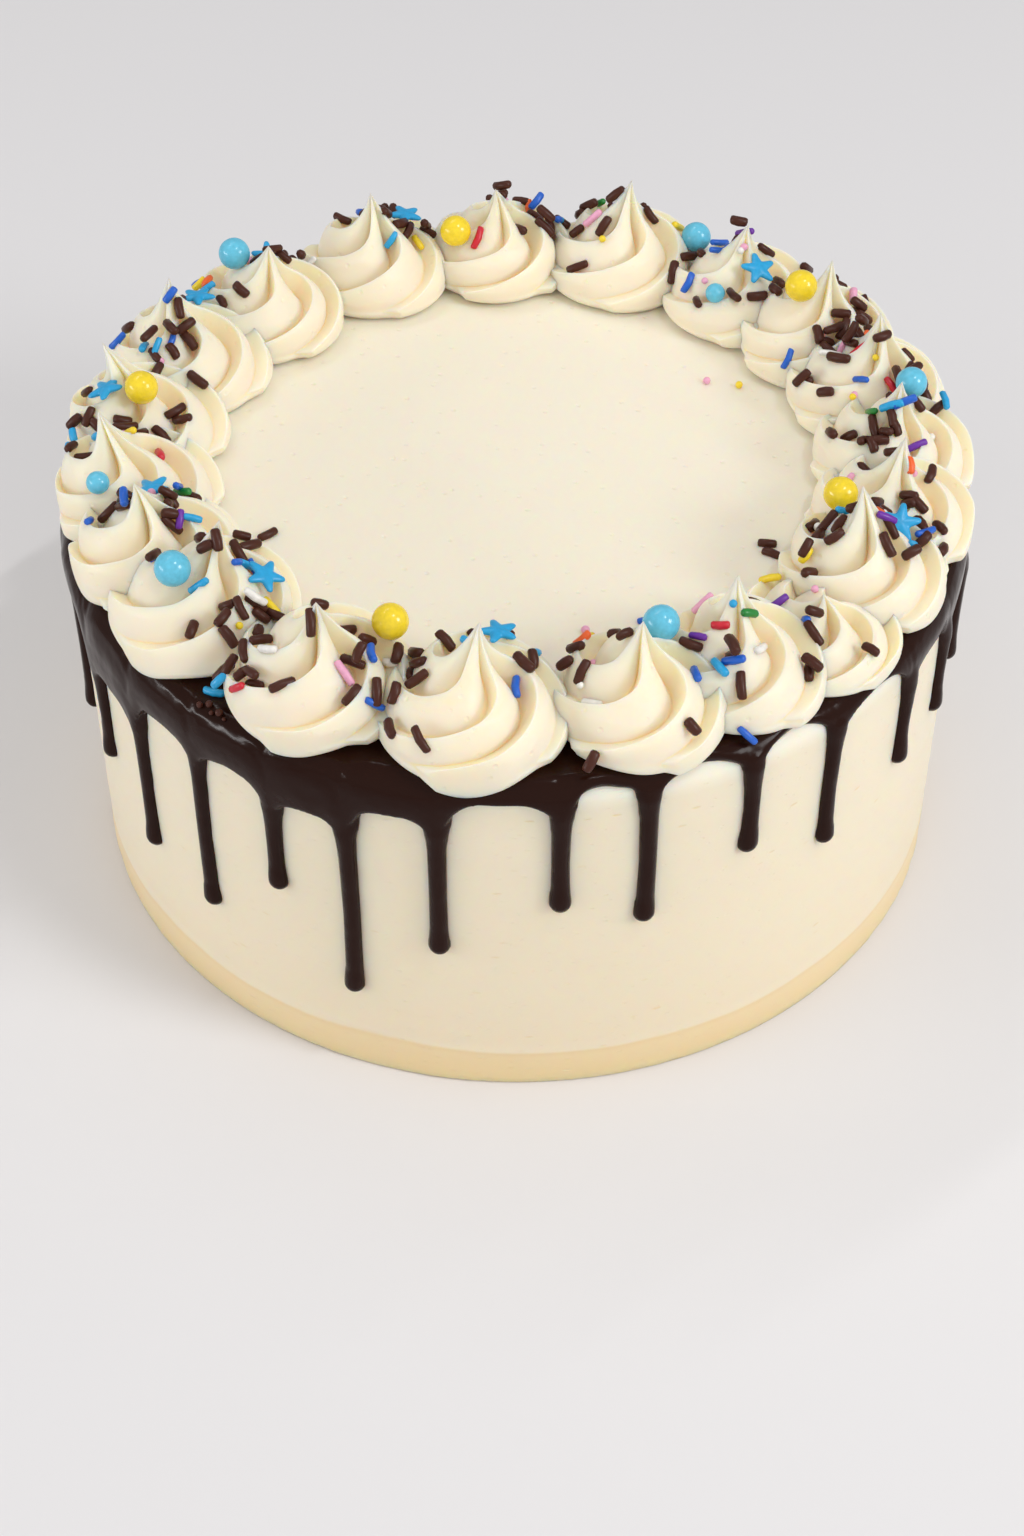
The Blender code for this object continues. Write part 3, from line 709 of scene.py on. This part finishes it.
def coatRing(drips):
    # A band over the shoulder whose lower edge hangs in arches between the drips
    columns = []
    for number, (azimuth, _, edge) in enumerate(drips):
        after = drips[(number + 1) % len(drips)]
        width = (after[0] - azimuth) % (2 * math.pi)
        lowHere = min(edge, drips[number - 1][2]) - coatValues["dip"]
        lowAfter = min(edge, after[2]) - coatValues["dip"]
        for step in range(coatValues["archSteps"]):
            share = step / coatValues["archSteps"]
            near = abs(2 * share - 1) ** 4
            low = lowHere if share < 0.5 else lowAfter
            wobble = noise.noise(Vector((azimuth * 9 + share * 4, 1.0, 2.0))) * coatValues["wobble"]
            columns.append((azimuth + width * share, edge + (low - edge) * near + wobble))
    flat = cake["radius"] - cake["shoulder"] - coatValues["start"]
    last = coatValues["sectionSteps"]
    rows = []
    for azimuth, edge in columns:
        end = pathToHeight(edge)
        depth = coatDepth(azimuth)
        section = []
        for share in (0.0, 0.5, 0.85):
            section.append(shoulderPoint(azimuth, flat * share, cake["coat"]))
        for step in range(1, last + 1):
            share = step / last
            path = flat + (end - flat) * share
            thick = cake["coat"] + (depth - cake["coat"]) * min(1.0, share * 2)
            fromRoll = (path - flat - coatValues["rollPlace"]) / coatValues["rollWidth"]
            waves = 1.0 + 0.6 * noise.noise(Vector((azimuth * 7.0, 4.0, 8.0)))
            thick += coatValues["roll"] * waves * math.exp(-fromRoll ** 2)
            if step == last:
                thick = coatValues["lip"]
            if step == last - 1:
                path = end - 0.5 * mm
                thick *= 0.85
            section.append(shoulderPoint(azimuth, path, thick))
        for share in (1.0, 0.6, 0.3, 0.0):
            section.append(shoulderPoint(azimuth, flat + (end - flat) * share, coatValues["inside"]))
        section.append(shoulderPoint(azimuth, 0.0, coatValues["inside"]))
        rows.append(section)
    count = len(rows)
    height = len(rows[0])
    points = [rows[column][row] for row in range(height) for column in range(count)]
    faces = gridFaces(height, count)
    lastRow = (height - 1) * count
    for column in range(count):
        after = (column + 1) % count
        faces.append((lastRow + column, lastRow + after, after, column))
    return addSolid("coatRing", points, faces)


def coatDrip(number, azimuth, tip, edge):
    # One strand: round wider tip, slimmer neck, and a flare where it leaves the band
    lip = edge - coatValues["dip"] * 0.5
    start = cake["height"] - cake["coat"] - cake["shoulder"]
    draw = random.Random(70 + number)
    wander = draw.uniform(-1.0, 1.0) * coatValues["dripWander"]
    stations = [  # height, and share of the strand's width and depth
        (tip + 4.6 * mm, 1.02, 1.05),
        (tip + 8.0 * mm, 0.9, 0.9),
        ((tip + lip) / 2, 0.86, 0.85),
        (lip - 6.0 * mm, 0.92, 0.9),
        (lip - 2.0 * mm, 1.06, 0.95),
        (lip, 1.2, 1.0),
        (lip + 2.5 * mm, 1.4, 0.9),
        (max(lip + 2.6 * mm, min(lip + 7.0 * mm, start + 2.0 * mm)), 1.7, 0.4),
    ]
    for degrees in (8, 30, 55, 80):
        bulb = math.sin(math.radians(degrees))
        rise = coatValues["bulb"] * (1 - math.cos(math.radians(degrees)))
        stations.append((tip + rise, 1.1 * bulb, 1.12 * bulb))
    stations.sort()
    sides = coatValues["dripSides"]
    points = []
    for height, wide, thick in stations:
        path = pathToHeight(height)
        half = coatValues["dripWidth"] * wide / 2
        hanging = min(1.0, max(0.0, (lip - height) / max(lip - tip, mm)))
        drift = wander * math.sin(math.pi * hanging)
        for side in range(sides):
            angle = 2 * math.pi * side / sides
            across = (half * math.cos(angle) + drift) / cake["radius"]
            lift = math.sin(angle)
            if lift > 0:
                out = coatValues["dripDepth"] * thick * lift
            else:
                out = coatValues["inside"] * 0.8 * -lift
            points.append(shoulderPoint(azimuth + across, path, out))
    faces = gridFaces(len(stations), sides)
    faces.append(tuple(range(sides)))
    last = (len(stations) - 1) * sides
    faces.append(tuple(last + side for side in range(sides)))
    return addSolid("drip%02d" % number, points, faces)


def pourCoat(glaze):
    drips = listDrips()
    ring = coatRing(drips)
    strands = []
    for number, (azimuth, tip, edge) in enumerate(drips):
        strands.append(coatDrip(number, azimuth, tip, min(edge, drips[number - 1][2])))
    for strand in strands:
        strand.select_set(True)
    ring.select_set(True)
    bpy.context.view_layer.objects.active = ring
    bpy.ops.object.join()
    ring.data.remesh_voxel_size = coatValues["voxel"]
    bpy.ops.object.voxel_remesh()
    smooth = ring.modifiers.new("flow", "SMOOTH")
    smooth.factor = 0.5
    smooth.iterations = 6
    bpy.ops.object.modifier_apply(modifier="flow")
    return finishPiece(ring, "pouredCoat", glaze, ["chocolate_coat"])


# Pearls

pearlColors = "ybybybbybybb"
pearlKinds = {
    "y": ("pearlYellow", "sugar_yellow"),
    "b": ("pearlBlue", "sugar_blue"),
}


def polishPearl(number, materials):
    node = "pearl_%02d" % (number + 1)
    low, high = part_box(node)
    centre = (low + high) / 2
    radius = (high.z - low.z) / 2
    bpy.ops.mesh.primitive_uv_sphere_add(segments=48, ring_count=24, radius=radius)
    piece = bpy.context.object
    points = readPoints(piece)
    points *= 1.0 + 0.012 * smoothNoise(points / radius, 0.8, number)[:, None]
    points += np.array(centre)
    writePoints(piece, points)
    material, slot = pearlKinds[pearlColors[number]]
    return finishPiece(piece, "sugarPearl%02d" % (number + 1), materials[material], [node])


# Sprinkles

heaps = (  # azimuth, radius in mm, chocolate rods, letters of the colored rods
    (-18.0, 86.0, 10, "bbw"),
    (-12.0, 104.0, 3, ""),
    (-5.0, 76.0, 4, "cc"),
    (8.0, 76.0, 5, "o"),
    (12.0, 95.0, 4, "bw"),
    (27.0, 90.0, 4, "brbcuk"),
    (36.0, 92.0, 4, "gbw"),
    (46.0, 82.0, 3, "yuyc"),
    (62.0, 84.0, 13, "kc"),
    (68.0, 95.0, 9, "coobu"),
    (84.0, 88.0, 13, "ugcb"),
    (98.0, 92.0, 11, "bbcr"),
    (114.0, 91.0, 14, "brwok"),
    (121.0, 98.0, 9, "cbk"),
    (137.0, 90.0, 11, "bub"),
    (152.0, 96.0, 7, "byb"),
    (166.0, 96.0, 10, "gkc"),
    (179.0, 94.0, 13, "bobrk"),
    (-160.0, 98.0, 12, "cuccby"),
    (-142.0, 100.0, 9, "bbkcw"),
    (-126.0, 99.0, 10, "ocycb"),
    (-110.0, 98.0, 10, "bcbcbcy"),
    (-90.0, 97.0, 13, "cyc"),
    (-72.0, 92.0, 12, "gcbburcb"),
    (-57.0, 88.0, 6, "bcb"),
    (-44.0, 88.0, 13, "bwwccy"),
    (-34.0, 97.0, 10, "kr"),
)
looseRods = (  # azimuth and radius in mm, heading in degrees, letter (d is chocolate)
    (-67.7, 63.4, 40.0, "d"),
    (64.9, 64.6, 172.0, "d"),
    (62.5, 66.8, 150.0, "d"),
    (28.1, 62.0, 20.0, "b"),
    (27.3, 107.2, 165.0, "b"),
    (-38.3, 104.6, 15.0, "c"),
    (-40.2, 103.6, 160.0, "c"),
)
looseBeads = (  # azimuth and radius in mm, letter
    (128.0, 60.8, "k"),
    (122.5, 66.3, "y"),
)
coatCrumbs = (  # azimuth and radius in mm, size in mm
    (-40.3, 107.4, 1.5),
    (-39.2, 106.5, 1.7),
    (-38.4, 107.6, 1.1),
    (-37.4, 106.9, 1.8),
    (-36.5, 107.5, 0.9),
)
stars = (  # azimuth, radius and width in mm
    (-139.5, 100.0, 7.4),
    (-123.5, 97.0, 7.8),
    (-95.0, 98.5, 8.0),
    (-72.5, 88.2, 8.0),
    (-45.5, 79.3, 7.8),
    (-3.2, 76.0, 7.6),
    (66.5, 94.8, 8.0),
    (136.0, 88.5, 7.8),
    (-162.0, 95.5, 7.6),
)
sprinkleValues = {
    "spread": 7.5 * mm,
    "length": (4.2, 6.6),
    "radius": 1.2 * mm,
    "coloredRadius": 0.95 * mm,
    "seed": 900,
    "sides": 8,
    "rings": 6,
    "beads": 46,
    "beadSize": (1.5, 2.1),
    "beadLetters": "ykywkbykwc",
    "beadReach": 101.0 * mm,
    "reach": (74.0 * mm, 106.8 * mm),
    "tipClearance": 3.0 * mm,
    "starThickness": 2.0 * mm,
    "starArm": 1.34,
    "starWaist": 0.64,
    "starFacing": (0.0, -0.3, 0.7),
    "starRest": 0.3,
}
sprinkleColors = {
    "d": ("Chocolate", (0.068, 0.0195, 0.0115)),
    "b": ("Blue", (0.01, 0.12, 0.6)),
    "c": ("Cyan", (0.015, 0.37, 0.72)),
    "r": ("Red", (0.62, 0.01, 0.03)),
    "g": ("Green", (0.01, 0.22, 0.03)),
    "u": ("Purple", (0.15, 0.02, 0.36)),
    "o": ("Orange", (0.88, 0.13, 0.02)),
    "y": ("Yellow", (0.93, 0.69, 0.025)),
    "k": ("Pink", (0.85, 0.4, 0.58)),
    "w": ("White", (0.86, 0.84, 0.8)),
}


def landscape(pieces):
    # One search tree over everything that sprinkles can land on
    points, faces, first = [], [], 0
    for piece in pieces:
        points += [vertex.co.copy() for vertex in piece.data.vertices]
        faces += [tuple(first + index for index in polygon.vertices) for polygon in piece.data.polygons]
        first += len(piece.data.vertices)
    return BVHTree.FromPolygons(points, faces)


def dropOn(tree, x, y):
    # Point and upward normal of the surface below a place
    point, normal = tree.ray_cast(Vector((x, y, 1.0)), Vector((0.0, 0.0, -1.0)))[:2]
    if point is None:
        return Vector((x, y, cake["height"])), Vector((0.0, 0.0, 1.0))
    return point, normal if normal.z > 0 else -normal


def ballShape(segments, rings):
    bpy.ops.mesh.primitive_uv_sphere_add(segments=segments, ring_count=rings, radius=1.0)
    ball = bpy.context.object
    points = readPoints(ball)
    faces = [tuple(polygon.vertices) for polygon in ball.data.polygons]
    bpy.data.objects.remove(ball, do_unlink=True)
    return points, faces


def rodShape(ball, length, radius, bend):
    # A rod with blunt rounded ends, along X and a little bent
    points, faces = ball
    across = np.maximum(np.hypot(points[:, 0], points[:, 1]), 1e-6)
    blunt = np.where(across > 1e-5, np.minimum(1.0, across ** 0.55) / across, 0.0)
    along = points[:, 2] * radius + np.sign(np.round(points[:, 2], 4)) * (length / 2 - radius)
    side = points[:, 0] * blunt * radius + bend * (2 * along / length) ** 2
    return np.stack([along, side, points[:, 1] * blunt * radius], 1), faces


def starShape(width, thickness):
    # Five plump arms: a short prism, two corners out and two corners in by turns, then rounded
    bpy.ops.mesh.primitive_cylinder_add(vertices=20, radius=width / 2, depth=thickness)
    star = bpy.context.object
    points = readPoints(star)
    turn = np.round(np.arctan2(points[:, 0], points[:, 1]) / (math.pi / 10)).astype(int)
    isArm = (turn % 4 < 2)[:, None]
    points[:, :2] *= np.where(isArm, sprinkleValues["starArm"], sprinkleValues["starWaist"])
    writePoints(star, points)
    rounded = star.modifiers.new("rounded", "SUBSURF")
    rounded.levels = 2
    rounded.render_levels = 2
    bpy.ops.object.modifier_apply(modifier="rounded")
    points = readPoints(star)
    faces = [tuple(polygon.vertices) for polygon in star.data.polygons]
    bpy.data.objects.remove(star, do_unlink=True)
    return points, faces


def layRod(tree, place, heading, length, radius, placed):
    # It comes down until some part of it touches what lies below; on other rods it lies higher
    half = Vector((math.cos(heading), math.sin(heading), 0.0)) * length / 2
    shares = (-0.9, -0.45, 0.0, 0.45, 0.9)
    below = []
    for share in shares:
        point = place + half * share
        below.append(dropOn(tree, point.x, point.y)[0].z)
    tilt = max(-0.8 * length, min(0.8 * length, below[-1] - below[0]))
    middle = place.copy()
    touching = max(height - tilt * share / 1.8 for share, height in zip(shares, below))
    middle.z = touching + 0.45 * radius
    direction = (half * 2 + Vector((0.0, 0.0, tilt / 0.9))).normalized()
    for _ in range(4):
        crowd = [other for other in placed if (other - middle).length < 0.45 * length
                 and abs(other.z - middle.z) < 1.6 * radius]
        if not crowd:
            break
        middle.z += 1.5 * radius
    placed.append(middle.copy())
    return middle, direction


def sowSprinkles(tree, materials):
    bits = {letter: [] for letter in sprinkleColors}
    placed = []
    rodBall = ballShape(sprinkleValues["sides"], sprinkleValues["rings"])
    beadBall = ballShape(12, 8)
    sizes = random.Random(41)
    keepClear = []
    for number in range(len(pearlColors)):
        low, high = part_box("pearl_%02d" % (number + 1))
        middle = (low + high) / 2
        keepClear.append((Vector((middle.x, middle.y, 0.0)), (high.z - low.z) / 2 + 2.0 * mm))
    for azimuth, peakRadius, _, _ in swirlPlaces:
        tip = around(math.radians(azimuth), peakRadius * mm, 0.0)
        keepClear.append((tip, sprinkleValues["tipClearance"]))

    def addRod(letter, place, heading, length):
        thin = sprinkleValues["radius" if letter == "d" else "coloredRadius"] * sizes.uniform(0.88, 1.1)
        for spot, clearance in keepClear:
            aside = place - spot
            if aside.length < clearance:
                place = spot + aside.normalized() * clearance
        middle, direction = layRod(tree, place, heading, length, thin, placed)
        shape, faces = rodShape(rodBall, length, thin, sizes.uniform(-0.5, 0.5) * mm)
        turn = np.array(direction.to_track_quat("X", "Z").to_matrix())
        bits[letter].append((shape @ turn.T + np.array(middle), faces))

    def addBead(letter, place, size):
        point, normal = dropOn(tree, place.x, place.y)
        centre = point + normal * size * 0.42
        bits[letter].append((beadBall[0] * size / 2 + np.array(centre), beadBall[1]))

    for azimuth, away, width in stars:
        place = around(math.radians(azimuth), away * mm, 0.0)
        point, normal = dropOn(tree, place.x, place.y)
        lying = (normal * 0.5 + Vector(sprinkleValues["starFacing"])).normalized()
        shape, faces = starShape(width * mm, sprinkleValues["starThickness"])
        turn = np.array(lying.to_track_quat("Z", "Y").to_matrix())
        # It rests on the highest place under its arms
        arm = width * sprinkleValues["starRest"] * mm
        highest = point.z
        for x, y in ((1, 0), (-1, 0), (0, 1), (0, -1)):
            highest = max(highest, dropOn(tree, place.x + x * arm, place.y + y * arm)[0].z)
        middle = Vector((point.x, point.y, highest)) + lying * sprinkleValues["starThickness"] * 0.5
        bits["c"].append((shape @ turn.T + np.array(middle), faces))
        placed.append(middle)
        keepClear.append((Vector((middle.x, middle.y, 0.0)), (width * 0.5 + 2.0) * mm))
    for number, (azimuth, away, chocolate, colors) in enumerate(heaps):
        draw = random.Random(sprinkleValues["seed"] + number)
        centre = around(math.radians(azimuth), away * mm, 0.0)
        letters = ["d"] * chocolate + list(colors)
        sizes.shuffle(letters)
        for letter in letters:
            shift = Vector((draw.gauss(0.0, 1.0), draw.gauss(0.0, 1.0), 0.0))
            heading = draw.uniform(0.0, math.pi)
            length = draw.uniform(*sprinkleValues["length"]) * mm
            place = centre + shift * sprinkleValues["spread"]
            inner, outer = sprinkleValues["reach"]
            place *= max(inner, min(outer, place.length)) / place.length
            addRod(letter, place, heading, length)
    for azimuth, away, heading, letter in looseRods:
        place = around(math.radians(azimuth), away * mm, 0.0)
        addRod(letter, place, math.radians(heading), sizes.uniform(4.4, 5.6) * mm)
    for number in range(sprinkleValues["beads"]):
        azimuth, away = sizes.choice(heaps)[:2]
        place = around(math.radians(azimuth), away * mm, 0.0)
        place += Vector((sizes.gauss(0.0, 7.0), sizes.gauss(0.0, 7.0), 0.0)) * mm
        letter = sizes.choice(sprinkleValues["beadLetters"])
        size = sizes.uniform(*sprinkleValues["beadSize"]) * mm
        if place.length < sprinkleValues["beadReach"]:
            addBead(letter, place, size)
    for azimuth, away, letter in looseBeads:
        addBead(letter, around(math.radians(azimuth), away * mm, 0.0), 1.9 * mm)
    for azimuth, away, size in coatCrumbs:
        addBead("d", around(math.radians(azimuth), away * mm, 0.0), size * mm)
    for letter, laid in bits.items():
        points, faces, first = [], [], 0
        for shape, shapeFaces in laid:
            points.append(shape)
            faces += [tuple(first + index for index in face) for face in shapeFaces]
            first += len(shape)
        name = sprinkleColors[letter][0]
        mesh = bpy.data.meshes.new("sprinkles" + name)
        mesh.from_pydata(np.vstack(points).tolist(), [], faces)
        piece = bpy.data.objects.new("sprinkles" + name, mesh)
        bpy.context.scene.collection.objects.link(piece)
        finishPiece(piece, "sprinkles" + name, materials["sprinkle" + name])


# Floor and lights

stageValues = {
    "floorColor": (0.755, 0.745, 0.76),
    "floorSize": 6.0,
    "worldFront": (0.81, 0.80, 0.785),
    "worldBack": (0.37, 0.366, 0.36),
    "lightsAim": (0.0, 0.0, 0.06),
}
lightValues = (  # name, place, width, height, power
    ("keyLight", (1.2, -0.6, 0.85), 0.5, 0.5, 8.4),
    ("topLight", (-0.4, 0.45, 1.25), 1.2, 0.05, 1.9),
    ("glintLight", (0.45, -0.35, 1.3), 0.25, 0.03, 2.9),
    ("fillLight", (-1.1, -0.38, 0.36), 0.8, 0.05, 3.5),
)


def setStage():
    bpy.ops.mesh.primitive_plane_add(size=stageValues["floorSize"])
    floor = bpy.context.object
    floor.name = "paleFloor"
    floor.data.materials.append(newMaterial("paleFloor", stageValues["floorColor"], 0.6, 0.3)[0])
    world = bpy.data.worlds.new("studio")
    world.use_nodes = True
    tree = world.node_tree
    # The studio is brighter in front of the cake than behind it
    direction = tree.nodes.new("ShaderNodeTexCoord")
    split = tree.nodes.new("ShaderNodeSeparateXYZ")
    tree.links.new(direction.outputs["Generated"], split.inputs["Vector"])
    share = addRange(tree, split.outputs["Y"], -1.0, 1.0, 0.0, 1.0)
    stops = ((0.0, stageValues["worldFront"]), (1.0, stageValues["worldBack"]))
    tree.links.new(addRamp(tree, share, stops), tree.nodes["Background"].inputs["Color"])
    bpy.context.scene.world = world
    for name, place, width, height, power in lightValues:
        bpy.ops.object.light_add(type="AREA", location=place)
        light = bpy.context.object
        light.name = name
        light.data.shape = "ELLIPSE"
        light.data.size = width
        light.data.size_y = height
        light.data.energy = power
        aim = Vector(stageValues["lightsAim"]) - Vector(place)
        light.rotation_euler = aim.to_track_quat("-Z", "Y").to_euler()


# Everything in order

placeCamera()
materials = {
    "wallCream": makeCream("wallCream", (1.0, 1.0, 3.0)),
    "pipedCream": makeCream("pipedCream", (1.0, 1.0, 1.0)),
    "glaze": makeGlaze(),
}
for pearlName in ("pearlYellow", "pearlBlue"):
    materials[pearlName] = makeSugar(
        pearlName, sugarValues[pearlName], sugarValues["pearlRoughness"], sugarValues["rodSpecular"]
    )
for colorName, colorValue in sprinkleColors.values():
    shine = sugarValues["chocolateSpecular" if colorName == "Chocolate" else "rodSpecular"]
    materials["sprinkle" + colorName] = makeSugar(
        "sprinkle" + colorName, colorValue, sugarValues["rodRoughness"], shine
    )
print("materials made")

body = turnBody(materials["wallCream"])
coat = pourCoat(materials["glaze"])
print("body and coat made", len(coat.data.polygons))
swirls = [pipeSwirl(number, materials["pipedCream"]) for number in range(len(swirlPlaces))]
print("swirls piped")
for number in range(len(pearlColors)):
    polishPearl(number, materials)
sowSprinkles(landscape(swirls + [coat]), materials)
print("sprinkles sown")
setStage()
